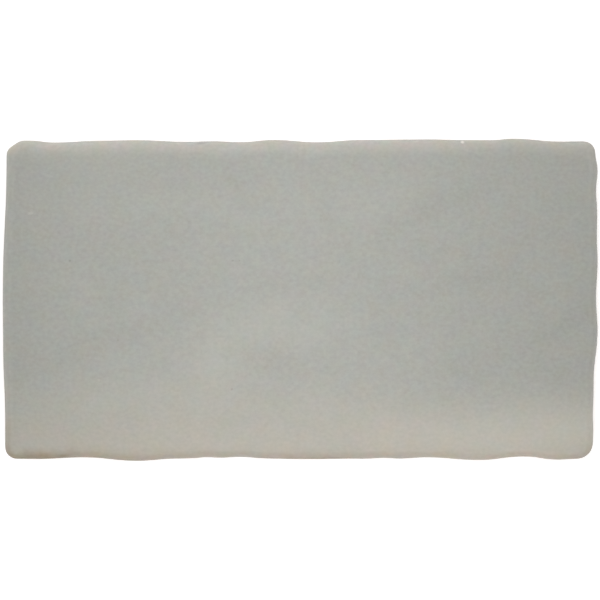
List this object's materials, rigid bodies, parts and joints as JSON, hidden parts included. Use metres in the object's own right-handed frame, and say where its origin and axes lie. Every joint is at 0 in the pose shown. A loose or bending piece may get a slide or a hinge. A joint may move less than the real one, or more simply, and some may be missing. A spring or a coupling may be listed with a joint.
{
  "type": "handmade tile",
  "caption": "Rectangular handmade glazed wall tile with wavy hand-trimmed sides, a knocked corner, a slightly crowned face, a rolled rim and a flat bare back.",
  "frame": {"origin": "middle of the flat back, on the surface that the tile lies on", "axes": "+X along the tile's length, +Y across it towards the side that is at the top of the picture, +Z out of the glazed face"},
  "size_m": [0.1406, 0.0762, 0.009],
  "materials": {
    "glazed_clay": "satin warm grey glaze"
  },
  "bodies": {
    "root": {"tile": "glazed_clay"}
  },
  "joints": []
}
